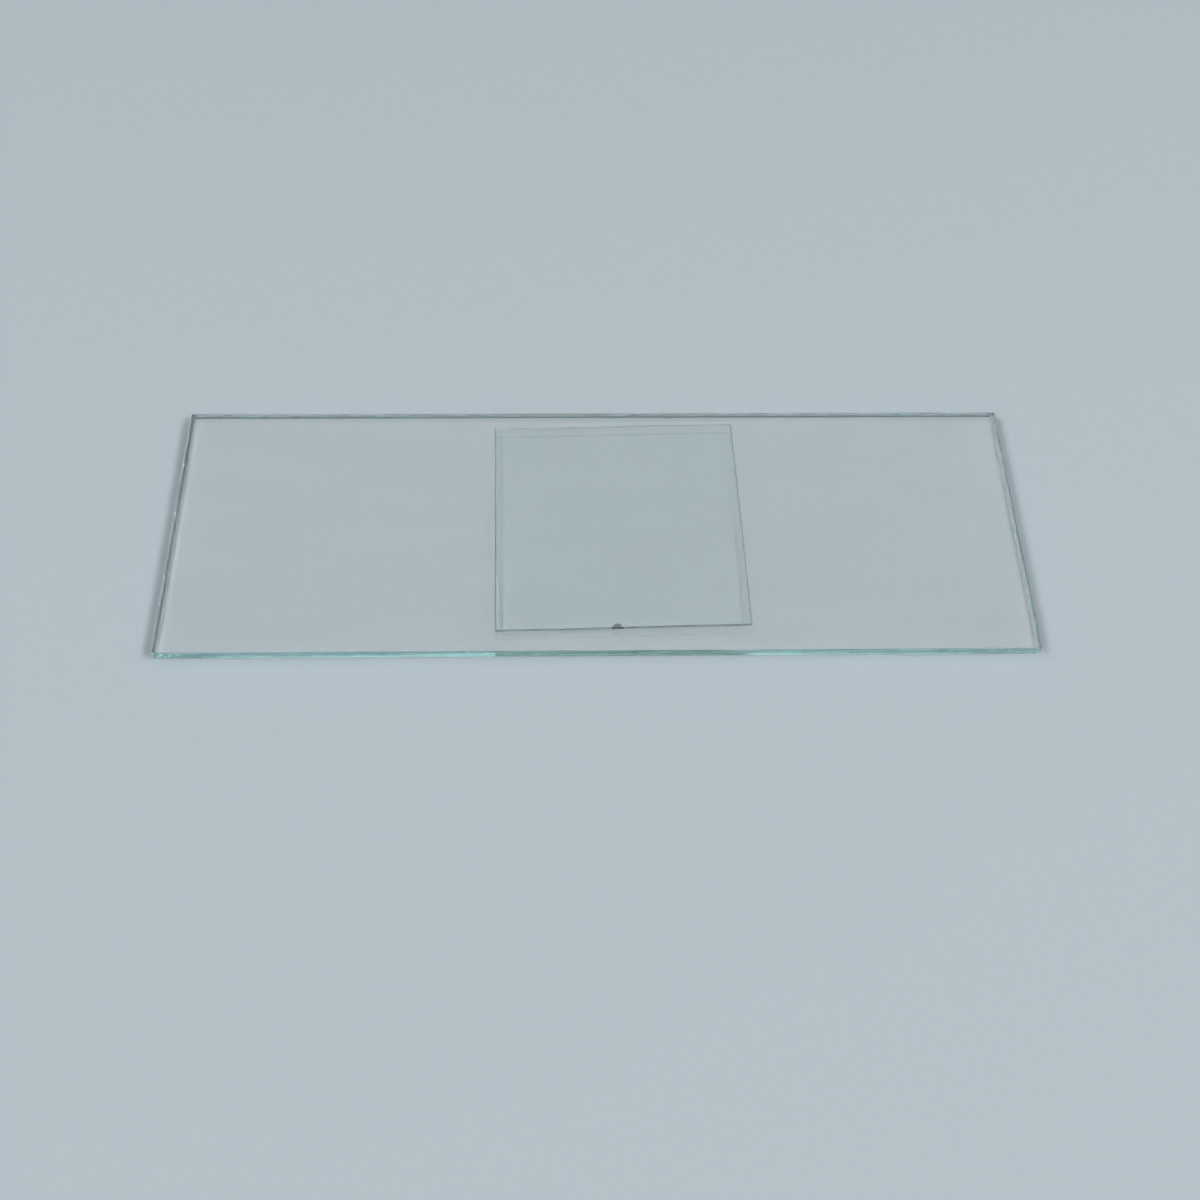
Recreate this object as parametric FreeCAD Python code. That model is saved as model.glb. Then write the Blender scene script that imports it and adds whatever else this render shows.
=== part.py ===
"""A mounted microscope slide: a glass slide with a square cover slip bedded on it in clear resin.

All sizes are in millimetres. The origin is the centre of the slide's underside, with +X along
the slide, +Y across it and +Z up, away from the stage that the slide lies on.
"""

import FreeCAD, Part
import os

# ---- driving dimensions ----

# Glass slide, cut from drawn sheet glass
SLIDE_LENGTH = 76.0
SLIDE_WIDTH = 26.0
SLIDE_THICKNESS = 1.1
SLIDE_ARRIS = 0.05  # width of the tiny bevel along every edge of the slide

# Square cover slip, laid on by hand: a little off centre and a little turned
COVER_SIDE = 22.0
COVER_THICKNESS = 0.15
COVER_SHIFT_X = 1.95
COVER_SHIFT_Y = 0.25
COVER_TURN = 1.3  # degrees, anticlockwise seen from above

# Mounting resin: a film under the cover slip, with a hollow bead along its four edges
RESIN_FILM = 0.03
BEAD_REACH = 0.16  # how far the bead runs out over the slide
BEAD_CLIMB = 0.10  # how far the bead climbs the cover slip's cut edge
BEAD_HOLLOW = 0.03  # how far the bead's surface sags below a straight slope

# ---- places that follow from the sizes ----

UP = FreeCAD.Vector(0, 0, 1)
CENTRE = FreeCAD.Vector(0, 0, 0)
SLIDE_TOP = SLIDE_THICKNESS
COVER_UNDERSIDE = SLIDE_TOP + RESIN_FILM
BEAD_TOP = COVER_UNDERSIDE + BEAD_CLIMB
SIDES_OF_A_SQUARE = 4
QUARTER_TURN = 360.0 / SIDES_OF_A_SQUARE


def centred_plate(length, width, thickness, underside):
    """A rectangular plate centred on the Z axis, with its underside at the given height."""
    corner = FreeCAD.Vector(-length / 2, -width / 2, underside)
    return Part.makeBox(length, width, thickness, corner)


def to_cover_place(shape):
    """Turns a shape made about the Z axis as the cover slip is turned, and moves it there."""
    shape.rotate(CENTRE, UP, COVER_TURN)
    shape.translate(FreeCAD.Vector(COVER_SHIFT_X, COVER_SHIFT_Y, 0))
    return shape


def make_glass_slide():
    """The slide: one flat plate whose twelve edges are lightly bevelled."""
    plate = centred_plate(SLIDE_LENGTH, SLIDE_WIDTH, SLIDE_THICKNESS, 0)
    return plate.makeChamfer(SLIDE_ARRIS, plate.Edges)


def make_cover_slip():
    """The cover slip: a thin square plate with sharp cut edges, on top of the resin film."""
    plate = centred_plate(COVER_SIDE, COVER_SIDE, COVER_THICKNESS, COVER_UNDERSIDE)
    return to_cover_place(plate)


def make_bead_section():
    """The bead's section at the middle of the cover slip's +X edge: upright against the cover
    slip, flat on the slide, and closed by a shallow hollow arc."""
    edge = COVER_SIDE / 2
    foot = FreeCAD.Vector(edge, 0, SLIDE_TOP)
    toe = FreeCAD.Vector(edge + BEAD_REACH, 0, SLIDE_TOP)
    top = FreeCAD.Vector(edge, 0, BEAD_TOP)
    slope = top - toe
    inwards = FreeCAD.Vector(-slope.z, 0, slope.x).normalize()
    belly = (toe + top) / 2 + inwards * BEAD_HOLLOW
    outline = [
        Part.LineSegment(foot, toe).toShape(),
        Part.Arc(toe, belly, top).toShape(),
        Part.LineSegment(top, foot).toShape(),
    ]
    return Part.Face(Part.Wire(outline))


def make_mounting_resin():
    """The resin: a square film under the cover slip, and a bead that runs along each of its
    edges and swings round each of its corners."""
    section = make_bead_section()
    section.translate(FreeCAD.Vector(0, -COVER_SIDE / 2, 0))
    straight = section.extrude(FreeCAD.Vector(0, COVER_SIDE, 0))
    section.translate(FreeCAD.Vector(0, COVER_SIDE, 0))
    corner_post = FreeCAD.Vector(COVER_SIDE / 2, COVER_SIDE / 2, 0)
    corner = section.revolve(corner_post, UP, QUARTER_TURN)
    bead = []
    for side in range(SIDES_OF_A_SQUARE):
        for piece in (straight, corner):
            turned = piece.copy()
            turned.rotate(CENTRE, UP, side * QUARTER_TURN)
            bead.append(turned)
    film = centred_plate(COVER_SIDE, COVER_SIDE, RESIN_FILM, SLIDE_TOP)
    return to_cover_place(film.fuse(bead).removeSplitter())


def main():
    """Writes each piece to its own STEP file and prints its size."""
    pieces = {
        "glass_slide": make_glass_slide(),
        "mounting_resin": make_mounting_resin(),
        "cover_slip": make_cover_slip(),
    }
    os.makedirs("parts", exist_ok=True)
    for name, shape in pieces.items():
        box = shape.BoundBox
        print(name, "solids", len(shape.Solids), "valid", shape.isValid(), "volume", round(shape.Volume, 3))
        print("   from", round(box.XMin, 3), round(box.YMin, 3), round(box.ZMin, 3))
        print("   to  ", round(box.XMax, 3), round(box.YMax, 3), round(box.ZMax, 3))
        shape.exportStep(os.path.join("parts", name + ".step"))


main()
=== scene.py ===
# %% [markdown]
# # A mounted microscope slide
#
# The object is three thin, clear pieces stacked on each other: a glass slide, a film of
# mounting resin, and a square cover slip. Clear things have almost no colour of their own.
# What the eye reads is how light bends, mirrors and gets lost at their cut edges, so most of
# this lesson is about true edges and true glass.
#
# The imported model gives every size. It is loaded first, and its pieces are kept, hidden.

# %% Load the imported model
import math

import bpy
import numpy as np
from mathutils import Matrix, Vector


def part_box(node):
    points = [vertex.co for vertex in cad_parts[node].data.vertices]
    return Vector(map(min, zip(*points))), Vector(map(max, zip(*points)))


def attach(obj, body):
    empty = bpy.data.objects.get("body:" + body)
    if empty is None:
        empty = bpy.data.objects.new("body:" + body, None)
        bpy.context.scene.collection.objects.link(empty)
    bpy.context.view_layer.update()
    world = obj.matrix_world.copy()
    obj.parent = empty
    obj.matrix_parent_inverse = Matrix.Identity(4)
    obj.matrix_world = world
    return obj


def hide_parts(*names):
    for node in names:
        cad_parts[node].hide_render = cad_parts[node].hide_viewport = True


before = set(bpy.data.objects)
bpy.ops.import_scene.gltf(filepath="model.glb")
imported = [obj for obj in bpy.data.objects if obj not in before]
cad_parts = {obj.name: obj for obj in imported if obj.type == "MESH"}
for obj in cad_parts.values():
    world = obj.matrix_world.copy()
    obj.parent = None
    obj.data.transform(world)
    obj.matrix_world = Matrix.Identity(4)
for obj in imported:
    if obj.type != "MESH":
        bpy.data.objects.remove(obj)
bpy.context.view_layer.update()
MM = 0.001
scene = bpy.context.scene
print("pieces:", sorted(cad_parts))

# %% [markdown]
# ## Sizes read from the frame
#
# The slide's two heights, and the cover slip's side, turn and place, all come from the
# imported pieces. The slip was laid on by hand and is a little turned, so its box is larger
# than the slip. Its leftmost corner and its frontmost corner are the two ends of one side,
# and that side gives both the length and the turn.

# %% Measure the slide, the cover slip and the resin
slide_low, slide_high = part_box("glass_slide")
slip_low, slip_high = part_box("cover_slip")
resin_low, resin_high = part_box("mounting_resin")


def corner_points(node):
    """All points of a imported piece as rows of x, y, z."""
    points = np.empty(len(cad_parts[node].data.vertices) * 3)
    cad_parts[node].data.vertices.foreach_get("co", points)
    return points.reshape(-1, 3)


slip_points = corner_points("cover_slip")
slip_left = slip_points[slip_points[:, 0].argmin()]
slip_front = slip_points[slip_points[:, 1].argmin()]
side_run = slip_front - slip_left
SLIP_SIDE = math.hypot(side_run[0], side_run[1])
SLIP_TURN = math.atan2(side_run[0], -side_run[1])
SLIP_CENTRE = ((slip_low.x + slip_high.x) / 2, (slip_low.y + slip_high.y) / 2)
BEAD_REACH = resin_high.x - slip_high.x
BEAD_TOP = resin_high.z
CLEAR = 0.001 * MM  # air left between two pieces that touch, so that no two faces coincide
print("slip side %.3f mm, turned %.2f degrees" % (SLIP_SIDE / MM, math.degrees(SLIP_TURN)))
print("bead reaches %.3f mm and tops out at %.3f mm" % (BEAD_REACH / MM, BEAD_TOP / MM))

# %% [markdown]
# ## A wall drawn round an outline
#
# Each piece is a flat thing with an interesting rim, so one helper makes them all. It takes
# a table of points, with one column for each step round the outline and one row for each
# step up the rim's section. Neighbours in the table are joined with four-sided faces, and the
# first and last rows are closed with one flat face each. Nothing overlaps and nothing is
# open, which matters for glass: light has to know when it is inside.

# %% Turn a table of points into a closed piece


def closed_piece(name, table, sharp_above=30.0):
    """A closed mesh from a table of shape (rows, columns, 3). The columns run round the outline
    anticlockwise seen from above and the rows run up the outside, so every face points outwards."""
    rows, columns = table.shape[:2]
    number = np.arange(rows * columns).reshape(rows, columns)
    ahead = np.roll(number, -1, axis=1)
    walls = np.stack([number[:-1], ahead[:-1], ahead[1:], number[1:]], axis=-1).reshape(-1, 4)
    underside = number[0, ::-1].tolist()
    topside = number[-1].tolist()
    mesh = bpy.data.meshes.new(name)
    mesh.from_pydata(table.reshape(-1, 3), [], walls.tolist() + [underside, topside])
    mesh.polygons.foreach_set("use_smooth", [True] * len(walls) + [False, False])
    mesh.set_sharp_from_angle(angle=math.radians(sharp_above))
    mesh.validate()
    piece = bpy.data.objects.new(name, mesh)
    scene.collection.objects.link(piece)
    size = np.ptp(table.reshape(-1, 3), axis=0) / MM
    print(name, len(mesh.polygons), "faces, size in mm", size.round(3))
    return piece


def ripple(along, across, seed, waves=9, longest=1.0, shortest=0.2):
    """Smooth noise between about -1 and 1: a sum of sine waves that run mostly along the first
    parameter, with wavelengths from the longest to the shortest and random starts."""
    draw = np.random.default_rng(seed)
    lengths = np.geomspace(longest, shortest, waves)
    total = np.zeros(np.broadcast(along, across).shape)
    for length in lengths:
        lean = draw.normal(0.0, 1.0)
        start = draw.uniform(0.0, 2.0 * np.pi)
        total = total + np.sin(2.0 * np.pi * (along / length + lean * across) + start)
    return total / math.sqrt(waves)


# %% Points round a rectangle


def rectangle_path(length, width, step):
    """Points round a rectangle centred on the origin, anticlockwise from its front left corner,
    with their outward directions and their distances from the start. At a corner the direction
    is the sum of both sides' directions, which keeps an inset rim square there."""
    corners = np.array([[-1, -1], [1, -1], [1, 1], [-1, 1]]) * [length / 2, width / 2]
    normals = np.array([[0, -1], [1, 0], [0, 1], [-1, 0]])
    points, outward = [], []
    for side in range(4):
        start, end = corners[side], corners[(side + 1) % 4]
        count = max(2, round(np.abs(end - start).max() / step))
        share = np.arange(count)[:, None] / count
        points.append(start + (end - start) * share)
        direction = np.repeat(normals[side][None, :].astype(float), count, axis=0)
        direction[0] += normals[side - 1]
        outward.append(direction)
    points, outward = np.concatenate(points), np.concatenate(outward)
    hop = np.linalg.norm(np.roll(points, -1, axis=0) - points, axis=1)
    distance = np.concatenate([[0.0], np.cumsum(hop)[:-1]])
    return points, outward, distance


def place(table, centre, turn):
    """The same table turned about the upright axis and moved to its centre."""
    cos, sin = math.cos(turn), math.sin(turn)
    x, y = table[..., 0].copy(), table[..., 1].copy()
    table[..., 0] = centre[0] + cos * x - sin * y
    table[..., 1] = centre[1] + sin * x + cos * y
    return table


# %% [markdown]
# ## Cut glass
#
# A slide and a cover slip are made the same way: a sheet is scored with a wheel or a diamond
# and snapped. The crack leaves a wall that is smooth but not quite flat, with faint ribs that
# run along it, and it leaves tiny shell-shaped flakes where the score was. A bevel modifier
# would give every edge the same neat stripe. Here the wall and its flakes are worked out
# along the outline instead, so the light breaks up along the edge as it does on real glass.
#
# A crack seldom runs quite upright, so each wall has its own lean, and its foot is cut back
# by its own toe. A hundredth of a millimetre matters here, because what is seen at the rim is
# the wall's inside, looked at through the top.

# %% Make a plate of cut glass
FLAKE_REACH = 0.35 * MM
FLAKE_GAPS = (4 * MM, 5 * MM)  # of wall to each flake, along the top rim and the bottom rim
CORNER_REACH = 0.5 * MM


def flakes(distance, around, count, widest, deepest, seed):
    """How deep flakes bite into the edge at each distance: for each flake, its depth times one
    minus the square of the distance from its middle over its half width, where that is positive."""
    draw = np.random.default_rng(seed)
    middle = draw.uniform(0.0, around, count)[:, None]
    half = widest * draw.uniform(0.25, 1.0, count)[:, None] ** 2
    depth = deepest * draw.uniform(0.2, 1.0, count)[:, None] ** 2
    gap = np.abs(distance[None, :] - middle)
    gap = np.minimum(gap, around - gap)
    return (depth * np.clip(1.0 - (gap / half) ** 2, 0.0, None)).max(axis=0)


def cut_plate(
    length, width, underside, topside, step, wave, rib, lean, arris, toe_up, toe_in, bite, seed, rows
):
    """A plate of cut glass. At each height the four walls stand in by their own lean times what
    is left of the climb. A point is then moved inwards by a slow wave along the wall plus fine
    ribs up it. The top rim is cut back by the arris and its flakes. The bottom rim is cut back by
    the wall's own toe and its flakes: the toe is toe_up high and reaches toe_in inwards. Each of
    lean, toe_up and toe_in has four numbers, for the left, front, right and back walls."""
    half = np.array([length, width]) / 2
    points, outward, distance = rectangle_path(length, width, step)
    around = distance[-1] + step
    # Flakes fade out near a corner, where two walls meet, so that they can't cut through each other.
    away = np.clip((half - np.abs(points)).max(axis=1) / CORNER_REACH, 0.0, 1.0)
    edge = arris + away * flakes(distance, around, round(around / FLAKE_GAPS[0]), FLAKE_REACH, bite, seed)
    chip = away * flakes(distance, around, round(around / FLAKE_GAPS[1]), FLAKE_REACH, bite, seed + 1)
    foot = np.abs(outward * np.where(outward < 0, toe_up[:2], toe_up[2:])).max(axis=1) + chip
    climb = np.linspace(0.0, 1.0, rows)[:, None]
    height = (underside + foot) * (1.0 - climb) + (topside - edge) * climb
    slow = 0.5 + 0.5 * ripple(distance[None, :] / (20 * MM), climb * 0.3, seed + 2, longest=1.0)
    ribs = ripple(climb * 4.0, distance[None, :] / (25 * MM), seed + 3, longest=2.0, shortest=0.5)
    inset = wave * np.clip(slow, 0.0, 1.0) + rib * (ribs + 2.5) * np.sin(np.pi * climb) ** 0.3

    def stood_in(four, further):
        """The rectangle with its walls stood in by four numbers, and each point further still."""
        low, high = four[..., :2] - half, half - four[..., 2:]
        return low + (points / half + 1.0) / 2 * (high - low) - outward * further[..., None]

    table = np.empty((rows + 2, len(points), 3))
    table[0, :, :2] = stood_in(lean + toe_in, inset[0] + chip)
    table[1:-1, :, :2] = stood_in(lean * (1.0 - climb[..., None]), inset)
    table[-1, :, :2] = stood_in(0.0 * lean, inset[-1] + edge)
    table[0, :, 2], table[1:-1, :, 2], table[-1, :, 2] = underside, height, topside
    return table


SLIDE_LEAN = np.array([0.08, 0.08, 0.05, 0.0]) * MM
SLIDE_TOE_UP = np.array([0.08, 0.05, 0.20, 0.10]) * MM
SLIDE_TOE_IN = np.array([0.08, 0.05, 0.10, 0.10]) * MM
slide_table = cut_plate(
    slide_high.x - slide_low.x, slide_high.y - slide_low.y, slide_low.z, slide_high.z,
    step=0.125 * MM, wave=0.005 * MM, rib=0.0004 * MM, lean=SLIDE_LEAN, arris=0.03 * MM,
    toe_up=SLIDE_TOE_UP, toe_in=SLIDE_TOE_IN, bite=0.12 * MM, seed=4, rows=20,
)
slide = closed_piece("slide_plate", slide_table)

# %% Make the cover slip
slip_table = cut_plate(
    SLIP_SIDE, SLIP_SIDE, slip_low.z + CLEAR, slip_high.z,
    step=0.125 * MM, wave=0.01 * MM, rib=0.0005 * MM, lean=np.zeros(4), arris=0.004 * MM,
    toe_up=np.full(4, 0.004 * MM), toe_in=np.full(4, 0.004 * MM), bite=0.03 * MM, seed=9, rows=8,
)
slip = closed_piece("slip_plate", place(slip_table, SLIP_CENTRE, SLIP_TURN))

# %% [markdown]
# ## Mounting resin
#
# The slip is bedded in a drop of clear resin. The drop spreads to a film as thin as a hair,
# and what is squeezed out wets both pieces and dries to a hollow bead round the slip's edge.
# The bead is a short section carried round a square path. At each corner the path stands
# still while the direction swings through a quarter turn, which rounds the bead there.

# %% Make the resin film and its bead


def swinging_path(side, step, swing_steps):
    """Points round a square, with the outward direction turning smoothly at each corner."""
    count = round(side / step)
    run = np.linspace(-0.5, 0.5, count) * side
    swing = np.linspace(0.0, np.pi / 2, swing_steps + 2)[1:-1]
    along = np.stack([run, np.full(count, -side / 2)], 1)
    still = np.full((len(swing), 2), [side / 2, -side / 2])
    base = np.concatenate([along, still])
    angle = np.concatenate([np.full(count, -np.pi / 2), swing - np.pi / 2])
    points, outward = [], []
    for quarter in range(4):
        turn = quarter * np.pi / 2
        spin = np.array([[math.cos(turn), math.sin(turn)], [-math.sin(turn), math.cos(turn)]])
        points.append(base @ spin)
        outward.append(np.stack([np.cos(angle + turn), np.sin(angle + turn)], 1))
    return np.concatenate(points), np.concatenate(outward)


def resin_table(side, reach, floor, film_top, bead_top, step, rows=9):
    """The resin's rim. From the toe on the slide, a hollow arc climbs to the slip's edge: its
    distance out is the reach times (1 - t) and its height is the bead's height times t to the
    power 1.6. Then the rim drops down the slip's edge to the top of the film."""
    points, outward = swinging_path(side, step, 8)
    hop = np.linalg.norm(np.roll(points, -1, axis=0) - points, axis=1)
    distance = np.concatenate([[0.0], np.cumsum(hop)[:-1]])
    swell = 0.80 + 0.18 * ripple(distance / (9 * MM), 0.0, 21, longest=1.0, shortest=0.15)
    swell = np.clip(swell, 0.35, 1.0)
    t = np.linspace(0.0, 1.0, rows)[:, None]
    out = CLEAR + (reach - CLEAR) * swell[None] * (1.0 - t)
    up = floor + (bead_top - floor) * t ** 1.6
    table = np.empty((rows + 1, len(points), 3))
    table[:-1, :, :2] = points[None] + outward[None] * out[..., None]
    table[:-1, :, 2] = up
    table[-1, :, :2] = points + outward * CLEAR
    table[-1, :, 2] = film_top
    return table


bed_table = resin_table(SLIP_SIDE, BEAD_REACH, resin_low.z + CLEAR, slip_low.z, BEAD_TOP, 0.2 * MM)
bed = closed_piece("resin_bed", place(bed_table, SLIP_CENTRE, SLIP_TURN))

# %% [markdown]
# ## Writing materials as sums
#
# A material is a graph of nodes. Wiring a graph by hand hides the thought behind it, so one
# small class wraps a node's output and lets plain arithmetic add the Math nodes. One method
# adds every other kind of node: its settings are set first, then its values and links.

# %% Sockets that can be added and multiplied


class Wire:
    """One output of a node. Arithmetic on wires adds the Math nodes that work it out."""

    def __init__(self, finish, socket):
        self.finish = finish
        self.socket = socket

    def _math(self, operation, *values):
        return self.finish.add("Math", {"operation": operation}, dict(enumerate(values)))

    def __add__(self, other):
        return self._math("ADD", self, other)

    def __radd__(self, other):
        return self._math("ADD", other, self)

    def __sub__(self, other):
        return self._math("SUBTRACT", self, other)

    def __rsub__(self, other):
        return self._math("SUBTRACT", other, self)

    def __mul__(self, other):
        return self._math("MULTIPLY", self, other)

    def __rmul__(self, other):
        return self._math("MULTIPLY", other, self)

    def __gt__(self, other):
        return self._math("GREATER_THAN", self, other)

    def __lt__(self, other):
        return self._math("LESS_THAN", self, other)

    def __abs__(self):
        return self._math("ABSOLUTE", self)

    def larger(self, other):
        return self._math("MAXIMUM", self, other)


class Finish:
    """A new material, with one method that adds a node to it."""

    def __init__(self, name):
        self.material = bpy.data.materials.new(name)
        self.material.use_nodes = True
        self.tree = self.material.node_tree
        self.tree.nodes.clear()

    def add(self, kind, settings=None, inputs=None, out=0):
        """Adds a node of a kind, sets its settings, then gives its sockets values or links."""
        node = self.tree.nodes.new("ShaderNode" + kind)
        for setting, value in (settings or {}).items():
            setattr(node, setting, value)
        for key, value in (inputs or {}).items():
            if isinstance(value, Wire):
                self.tree.links.new(value.socket, node.inputs[key])
            else:
                node.inputs[key].default_value = value
        return Wire(self, node.outputs[out]) if node.outputs else node

    def place_of(self):
        """The point of the surface, in metres, in the object's own frame."""
        return self.add("TexCoord", out=3)

    def parts(self, vector):
        """The x, y and z of a vector."""
        x = self.add("SeparateXYZ", inputs={0: vector})
        node = x.socket.node
        return x, Wire(self, node.outputs[1]), Wire(self, node.outputs[2])

    def noise(self, lump, detail=2.0):
        """Noise between 0 and 1 whose lumps have the given sizes along x, y and z."""
        where = self.add("VectorMath", {"operation": "DIVIDE"}, {0: self.place_of(), 1: lump})
        return self.add("TexNoise", inputs={"Vector": where, "Scale": 1.0, "Detail": detail})

    def specks(self, spacing, radius):
        """1 inside a ball of the radius round one random point in each cell of the spacing."""
        cells = {"Vector": self.place_of(), "Scale": 1.0 / spacing}
        return self.add("TexVoronoi", inputs=cells) < radius / spacing

    def blend(self, share, start, end):
        """A colour between a start and an end."""
        return self.add("Mix", {"data_type": "RGBA"}, {0: share, 6: start, 7: end}, out=2)


# %% [markdown]
# ## Glass that is joined to glass
#
# Where the resin wets the glass there is no air, so there is almost no mirror there: that is
# why a mounted slip nearly disappears. Each piece is its own closed mesh with its own
# surface, though, and plain glass would mirror light at every one of them. So each piece has
# two kinds of glass, and a mask on the faces that are wetted picks the second kind, whose
# index is that of its surroundings. Light goes straight through it. The resin wets the slide
# under it, the slip above it, and the slip's edge as far up as the bead climbs.
#
# Dust and dirt lie on glass as small matt patches. One plain matt shader stands for them all,
# and for the painted shade, highlight and glow on the slide's rim, with a colour for each kind
# and a mask for the share of the surface that it covers.
#
# The plain glass comes straight before the output, and everything else is mixed into it. A
# viewer that can hold only one shader for each piece keeps the nearest one, so it keeps glass.

# %% Clear glass with a joined side
GLASS_INDEX = 1.52
STRAIGHT_THROUGH = 1.0
CLEAR_COLOUR = (1.0, 1.0, 1.0, 1.0)
# Dark teal matt colour for the slide's walls: partly dust, partly painted shade for the dark rim lines.
DUST_AND_SHADE_TEAL = (0.12, 0.28, 0.31, 1.0)
# Pale matt colour: powder on the slip's edge, and a painted highlight on the slide's left top rim.
PALE_POWDER_AND_HIGHLIGHT = (0.80, 0.84, 0.84, 1.0)
# Teal matt colour that paints the green glow of light carried through the slide onto its front wall.
PAINTED_GLOW_TEAL = (0.58, 0.88, 0.88, 1.0)
PALE_DUST = (0.62, 0.62, 0.60, 1.0)
DARK_DIRT = (0.085, 0.095, 0.10, 1.0)


def clear_glass(finish, joined, colour, roughness, covers, absorption=None):
    """Glass where the mask is 0, and glass that lets light straight through where it is 1. Each
    cover is a share of the surface and the colour of the matt stuff that covers it. What the
    covers leave bare is the product of (1 - share), and where two meet the later one shows."""
    kind = "BsdfPrincipled"
    glass = {"Base Color": colour, "Transmission Weight": 1.0}
    open_side = finish.add(kind, inputs={**glass, "IOR": GLASS_INDEX, "Roughness": roughness})
    joined_side = finish.add(kind, inputs={**glass, "IOR": STRAIGHT_THROUGH, "Roughness": 0.0})
    bare, matt_colour = 1.0, covers[0][1]
    for number, (share, cover_colour) in enumerate(covers):
        bare = (1.0 - share) * bare
        if number > 0:
            matt_colour = finish.blend(share > 0.0, matt_colour, cover_colour)
    matt = finish.add(kind, inputs={"Base Color": matt_colour, "Roughness": 1.0})
    not_open = 1.0 - (1.0 - joined) * bare
    other = finish.add("MixShader", inputs={0: 1.0 - joined * bare, 1: joined_side, 2: matt})
    surface = finish.add("MixShader", inputs={0: not_open, 1: open_side, 2: other})
    ends = {"Surface": surface}
    if absorption is not None:
        settings = {"Color": absorption[0], "Density": absorption[1]}
        ends["Volume"] = finish.add("VolumeAbsorption", inputs=settings)
    finish.add("OutputMaterial", inputs=ends)
    return finish.material


def slip_frame(finish, reach):
    """How far a point lies from the slip's centre, as a share of its half side plus a reach:
    the larger of the two shares along the slip's own turned sides."""
    half = SLIP_SIDE / 2 + reach
    turned = finish.add(
        "Mapping",
        {"vector_type": "TEXTURE"},
        {
            "Vector": finish.place_of(),
            "Location": (SLIP_CENTRE[0], SLIP_CENTRE[1], 0.0),
            "Rotation": (0.0, 0.0, SLIP_TURN),
            "Scale": (half, half, 1.0),
        },
    )
    x, y, z = finish.parts(turned)
    return abs(x).larger(abs(y)), z


# %% [markdown]
# ## The slide's walls
#
# A cutter scores one face of the sheet, and the sheet is snapped along the score. The half of
# the wall beside the score is broken to powder and holds dust, and it gets a dark teal matt
# cover that is partly that dust and partly painted shade; the other half is a clean mirror. Seen
# through the top, the covered half is a dark line of dust and painted shade, and the clean half repeats
# the floor.
# The left and back walls were scored below. The right wall was scored above, and its lower
# half is frosted, so the lamp that shines into it makes a bright line. The masks follow the
# height on the wall, and slow noise lets the border between the halves wander. A face is told
# by its normal: the flat top and underside look straight up or down, and everything else is rim.

# %% Masks for the slide's walls
FLAT = 0.96  # a normal with more than this much up or down in it is on the top or the underside
STEEP = 0.35  # and one with less than this is on a wall
RIM_DEPTH = 0.24 * MM
WANDER_LUMP = 1.1 * MM
WANDER_RISE = 0.5 * MM
# Shares of the dark teal cover of dust and painted shade on the walls.
DUST_AND_SHADE_SHARE = 0.44
BACK_DUST_AND_SHADE_SHARES = (0.20, 0.50)  # of the upper and of the lower half of the back wall
# Pale patches on the left wall's top rim paint the thin light line of a highlight.
HIGHLIGHT_POWDER_SHARE = 0.9
HIGHLIGHT_POWDER_LUMP = 0.4 * MM
HIGHLIGHT_POWDER_ABOVE = 0.42  # of the noise, so that the powder has gaps
slide_finish = Finish("drawn_sheet_glass")
share, height = slip_frame(slide_finish, BEAD_REACH * 0.8)
under_resin = (share < 1.0) * (height > (slide_low.z + slide_high.z) / 2)
x, y, z = slide_finish.parts(slide_finish.place_of())
facing_up = abs(slide_finish.parts(slide_finish.add("TexCoord", out=1))[2])
rim = facing_up < FLAT
upright = facing_up < STEEP
left_side = rim * (x < slide_low.x + RIM_DEPTH)
right_side = rim * (x > slide_high.x - RIM_DEPTH)
back_side = rim * (y > slide_high.y - RIM_DEPTH)
front_wall = upright * (y < slide_low.y + RIM_DEPTH)
wander = slide_finish.noise((WANDER_LUMP, WANDER_LUMP, WANDER_LUMP), 3.0) - 0.5
border = wander * WANDER_RISE + (slide_low.z + slide_high.z) / 2
lower = z < border
upper = z > border
# Dust and painted shade: a dark teal cover on the left wall's lower half, the right wall's upper half and
# the back wall.
dust_and_shade = (left_side * lower).larger(right_side * upper) * DUST_AND_SHADE_SHARE
dust_and_shade = dust_and_shade.larger(back_side * (lower * (BACK_DUST_AND_SHADE_SHARES[1] - BACK_DUST_AND_SHADE_SHARES[0]) + BACK_DUST_AND_SHADE_SHARES[0]))
sparkle = slide_finish.noise((HIGHLIGHT_POWDER_LUMP, HIGHLIGHT_POWDER_LUMP, HIGHLIGHT_POWDER_LUMP)) > HIGHLIGHT_POWDER_ABOVE
# Painted highlight: pale matt patches on the left top rim draw a thin light line.
painted_highlight = left_side * upper * (facing_up > STEEP) * sparkle * HIGHLIGHT_POWDER_SHARE
frosted = right_side * lower

# %% [markdown]
# ## Wiped glass
#
# A slide is wiped before use, and the cloth leaves a thin film in long streaks. The film takes
# about seven hundredths of the light each time it passes a face. Fine dust settles on it as
# pale specks. A sphere round each random point of a Voronoi pattern cuts the face in a dot
# whose size depends on how near the point is, so the specks come out in all sizes.
#
# The glass itself is soda-lime, which holds a little iron. Over a millimetre it has no colour,
# but light that runs along the slide turns green, so the colour is left to the volume, except on
# the front wall, where a teal matt cover in uneven patches paints that green glow.

# %% The slide's glass
FILM_SHARES = (0.62, 0.98)  # where a streak is thinnest and thickest
FROST_ROUGHNESS = 0.9
FRONT_ROUGHNESS = 0.12
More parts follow.
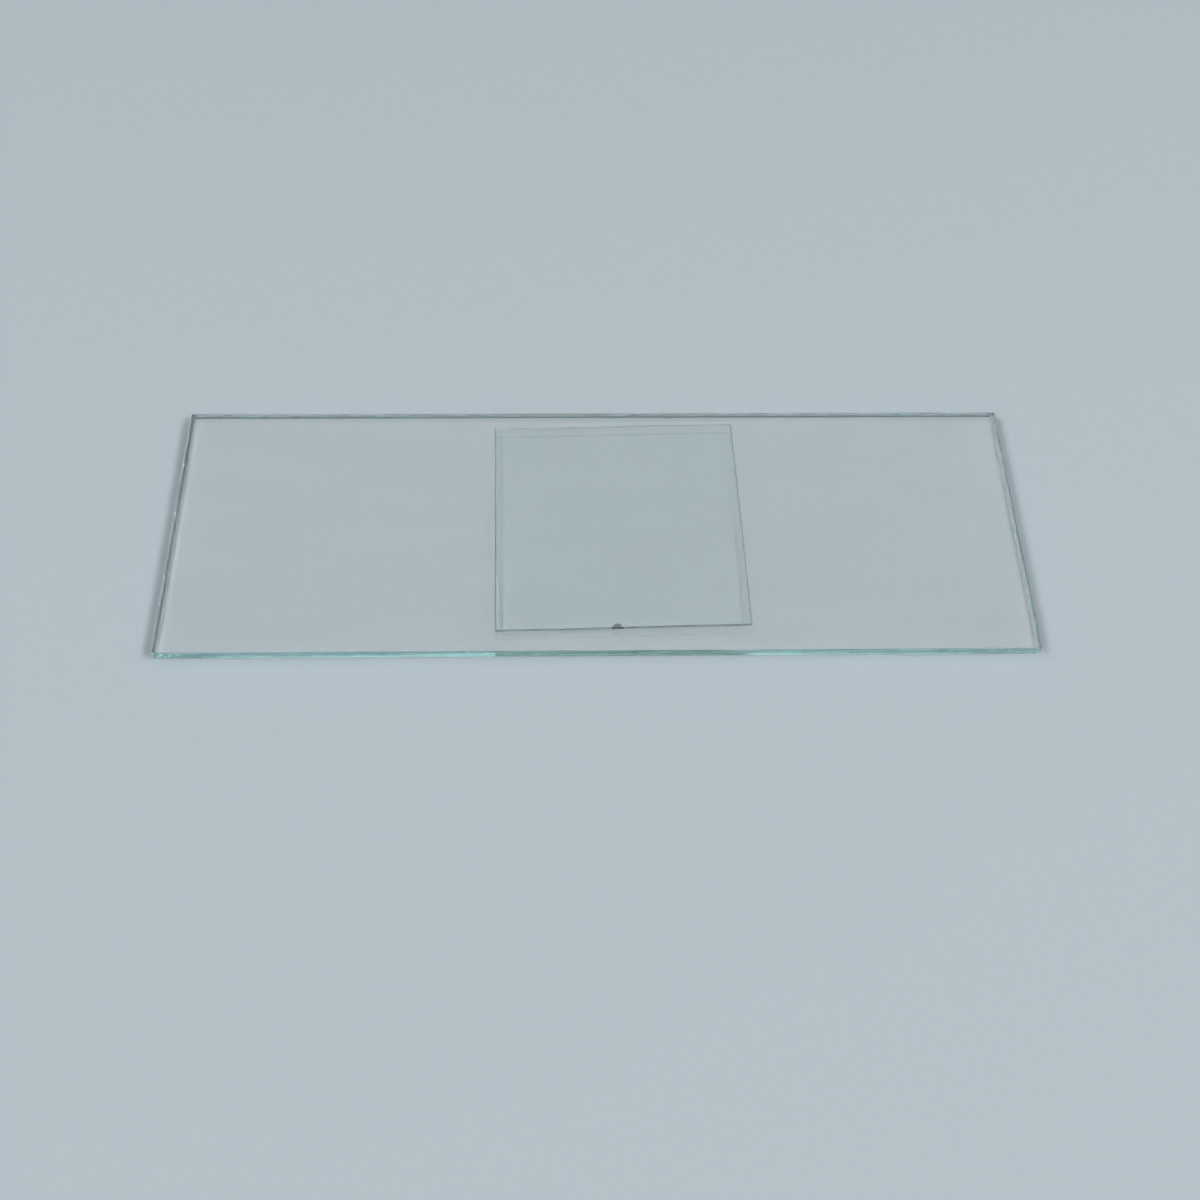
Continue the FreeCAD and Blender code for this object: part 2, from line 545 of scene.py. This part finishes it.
# Shares of the painted teal glow on the front wall, where its noise is low and where it is high.
FRONT_GLOW_SHARES = (0.25, 0.50)  # of the front wall, where it is clean and where it is rubbed
UNEVEN_GLOW_ABOVE = 0.54  # of the noise
SPECK_SPACING = 1.5 * MM
SPECK_RADIUS = 0.045 * MM
SPECK_SHARE = 0.6
FILM_COLOUR = (0.844, 0.844, 0.842, 1.0)
FROST_TINT = (0.83, 0.98, 1.0, 1.0)
streaks = slide_finish.noise((14 * MM, 2.5 * MM, 5 * MM), 5.0)
film_share = (1.0 - rim) * (streaks * (FILM_SHARES[1] - FILM_SHARES[0]) + FILM_SHARES[0])
film = slide_finish.blend(film_share, CLEAR_COLOUR, FILM_COLOUR)
specks = slide_finish.specks(SPECK_SPACING, SPECK_RADIUS) * (facing_up > FLAT) * SPECK_SHARE
uneven_glow = slide_finish.noise((7 * MM, 2 * MM, 0.22 * MM), 3.0) > UNEVEN_GLOW_ABOVE
# Painted glow: a teal matt cover on the front wall, in uneven patches, stands for light carried through
# the slide.
painted_front_glow = front_wall * (uneven_glow * (FRONT_GLOW_SHARES[1] - FRONT_GLOW_SHARES[0]) + FRONT_GLOW_SHARES[0])
clear_glass(
    slide_finish,
    joined=under_resin,
    colour=slide_finish.blend(frosted, film, FROST_TINT),
    roughness=frosted * FROST_ROUGHNESS + front_wall * FRONT_ROUGHNESS,
    covers=(
        (dust_and_shade, DUST_AND_SHADE_TEAL),
        (painted_highlight, PALE_POWDER_AND_HIGHLIGHT),
        (painted_front_glow, PAINTED_GLOW_TEAL),
        (specks, PALE_DUST),
    ),
    absorption=((0.20, 0.80, 0.78, 1.0), 30.0),
)

# %% [markdown]
# ## The slip's glass
#
# The slip is wiped too, but it is thinner and whiter than the slide, and no colour can be seen
# in it. Its snapped edge keeps some powder, in patches. The powder is what makes the outline of
# a mounted slip visible where the resin has not reached.

# %% The slip's glass
SLIP_FILM = (0.97, 0.97, 0.97, 1.0)
SLIP_SPECK_RADIUS = 0.04 * MM
SLIP_STEEP = 0.7  # the slip's rim is counted from a flatter slope than the slide's
EDGE_POWDER = 0.7
slip_finish = Finish("thin_cover_glass")
share, height = slip_frame(slip_finish, 0.0)
slip_streaks = slip_finish.noise((6 * MM, 2 * MM, 2 * MM), 4.0)
slip_top = height > slip_high.z - 3 * CLEAR
slip_film = slip_finish.blend(slip_streaks * slip_top, CLEAR_COLOUR, SLIP_FILM)
slip_specks = slip_finish.specks(SPECK_SPACING, SLIP_SPECK_RADIUS) * slip_top * SPECK_SHARE
slip_wall = abs(slip_finish.parts(slip_finish.add("TexCoord", out=1))[2]) < SLIP_STEEP
slip_powder = slip_wall * slip_finish.noise((1.2 * MM, 1.2 * MM, 0.1 * MM), 4.0) * EDGE_POWDER
wetted = (height < slip_low.z + 3 * CLEAR).larger(slip_wall * (height < BEAD_TOP))
clear_glass(
    slip_finish,
    joined=wetted,
    colour=slip_film,
    roughness=0.0,
    covers=((slip_specks, PALE_DUST), (slip_powder, PALE_POWDER_AND_HIGHLIGHT)),
)

# %% [markdown]
# ## Aged resin
#
# Mounting resin yellows as it ages, and more where it dried thicker, so its colour drifts
# between two tints over a few millimetres. A crumb of dirt was caught at the slip's front
# edge. Its outline is ragged because the radius of the crumb is noise.

# %% The resin
FRESH_RESIN = (0.953, 0.988, 0.984, 1.0)
AGED_RESIN = (0.973, 0.988, 0.965, 1.0)
CRUMB_AT = (SLIP_CENTRE[0] - 0.35 * MM, slip_low.y + 0.08 * MM, slip_low.z)
CRUMB_SHARE = 0.45
CRUMB_LUMP = 0.3 * MM
CRUMB_SPREAD = 1.5 * MM
CRUMB_BELOW = 0.16  # of the noise, where the crumb's radius shrinks to nothing
resin_finish = Finish("clear_mounting_resin")
share, height = slip_frame(resin_finish, 2 * CLEAR)
on_slip = share < 1.0
on_slide = height < resin_low.z + 2 * CLEAR
aged = resin_finish.noise((7 * MM, 7 * MM, 7 * MM), 2.0)
resin_colour = resin_finish.blend(aged, FRESH_RESIN, AGED_RESIN)
here = resin_finish.place_of()
gap = resin_finish.add("VectorMath", {"operation": "DISTANCE"}, {0: here, 1: CRUMB_AT}, out=1)
ragged = resin_finish.noise((CRUMB_LUMP, CRUMB_LUMP, CRUMB_LUMP), 3.0)
crumb = (gap < (ragged - CRUMB_BELOW) * CRUMB_SPREAD) * CRUMB_SHARE
clear_glass(
    resin_finish,
    joined=on_slip.larger(on_slide),
    colour=resin_colour,
    roughness=0.0,
    covers=((crumb, DARK_DIRT),),
)

# %% Give the pieces their finishes, and put them in place of the plain ones
for piece, finish, node, slot in (
    (slide, slide_finish, "glass_slide", "slide_glass"),
    (bed, resin_finish, "mounting_resin", "clear_resin"),
    (slip, slip_finish, "cover_slip", "cover_glass"),
):
    piece.data.materials.append(finish.material)
    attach(piece, "root")
    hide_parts(node)
    print(piece.name, "stands for", node)

# %% [markdown]
# ## Floor, light and camera
#
# A clear object shows what lies under it, so the floor's colour sets the tone of the whole
# picture. The floor lies a hair under the slide, because no two faces may lie in one plane.

# %% Floor
AIR_UNDER = 0.025 * MM
FLOOR_SIDE = 3.0
floor_mesh = bpy.data.meshes.new("floor")
corner = np.array([[-1, -1, 0], [1, -1, 0], [1, 1, 0], [-1, 1, 0]]) * FLOOR_SIDE / 2
floor_mesh.from_pydata(corner + [0, 0, slide_low.z - AIR_UNDER], [], [(0, 1, 2, 3)])
floor = bpy.data.objects.new("floor", floor_mesh)
scene.collection.objects.link(floor)
floor_finish = Finish("pale_floor")
pale_grey = {"Base Color": (0.440, 0.503, 0.546, 1.0), "Roughness": 1.0, "Specular IOR Level": 0.0}
matt = floor_finish.add("BsdfPrincipled", inputs=pale_grey)
floor_finish.add("OutputMaterial", inputs={"Surface": matt})
floor_mesh.materials.append(floor_finish.material)

# %% [markdown]
# ## Light for flat glass
#
# Flat glass mirrors whatever stands opposite the viewer, so it is lit from its two sides.
# Each lamp throws the slide's edge as a thin shadow on the far side, and the two shadows draw
# the slide's outline. A dim card stands at the back, where the glass mirrors it: it gives the
# top its faint sheen and sends light through the whole slide to the front wall.

# %% Light
world = bpy.data.worlds.new("soft_room")
world.use_nodes = True
world.node_tree.nodes["Background"].inputs["Color"].default_value = (1.0, 1.0, 1.0, 1.0)
world.node_tree.nodes["Background"].inputs["Strength"].default_value = 0.02
scene.world = world


def strip_lamp(name, heading, climb, distance, width, height, brightness):
    """A wide lamp that faces the slide from a heading and a climb in degrees. Its power is its
    area times four times the brightness that a mirror would show."""
    lamp = bpy.data.lights.new(name, "AREA")
    lamp.shape = "RECTANGLE"
    lamp.size = width
    lamp.size_y = height
    lamp.energy = 4.0 * width * height * brightness
    holder = bpy.data.objects.new(name, lamp)
    flat = distance * math.cos(math.radians(climb))
    turn = math.radians(heading)
    rise = distance * math.sin(math.radians(climb))
    holder.location = (flat * math.cos(turn), flat * math.sin(turn), rise)
    holder.rotation_euler = (-holder.location).to_track_quat("-Z", "Y").to_euler()
    scene.collection.objects.link(holder)
    return holder


strip_lamp("left_lamp", 200.0, 48.0, distance=0.70, width=0.75, height=0.20, brightness=5.65)
strip_lamp("right_lamp", 340.0, 47.0, distance=0.70, width=0.60, height=0.20, brightness=7.3)
strip_lamp("back_card", 90.0, 55.0, distance=0.90, width=0.80, height=0.30, brightness=1.22)

# %% Camera
CAMERA_DISTANCE = 127.4  # in mm
camera_data = bpy.data.cameras.new("camera")
camera_data.sensor_width = 36.0
camera_data.lens = 43.9
camera_data.clip_start = 0.01
camera = bpy.data.objects.new("camera", camera_data)
scene.collection.objects.link(camera)
aim = Vector((0.17 * MM, slide_low.y + 5.09 * MM, slide_high.z))
look = Vector((0.020, 0.533, -0.846)).normalized()
up = Vector((0.005, 0.846, 0.533))
right = look.cross(up).normalized()
up = right.cross(look)
turned = Matrix((right, up, -look)).transposed().to_4x4()
camera.matrix_world = Matrix.Translation(aim - look * CAMERA_DISTANCE * MM) @ turned
scene.camera = camera
scene.view_settings.view_transform = "Standard"

# %% [markdown]
# Glass needs long light paths. The light that makes a cut edge glow has been mirrored to and
# fro inside the slide dozens of times, so the number of bounces is raised. Two shortcuts that
# blur and dim such light are switched off.

# %% Light paths
scene.cycles.max_bounces = 128
scene.cycles.glossy_bounces = 128
scene.cycles.transmission_bounces = 128
scene.cycles.blur_glossy = 0.0
scene.cycles.sample_clamp_indirect = 0.0
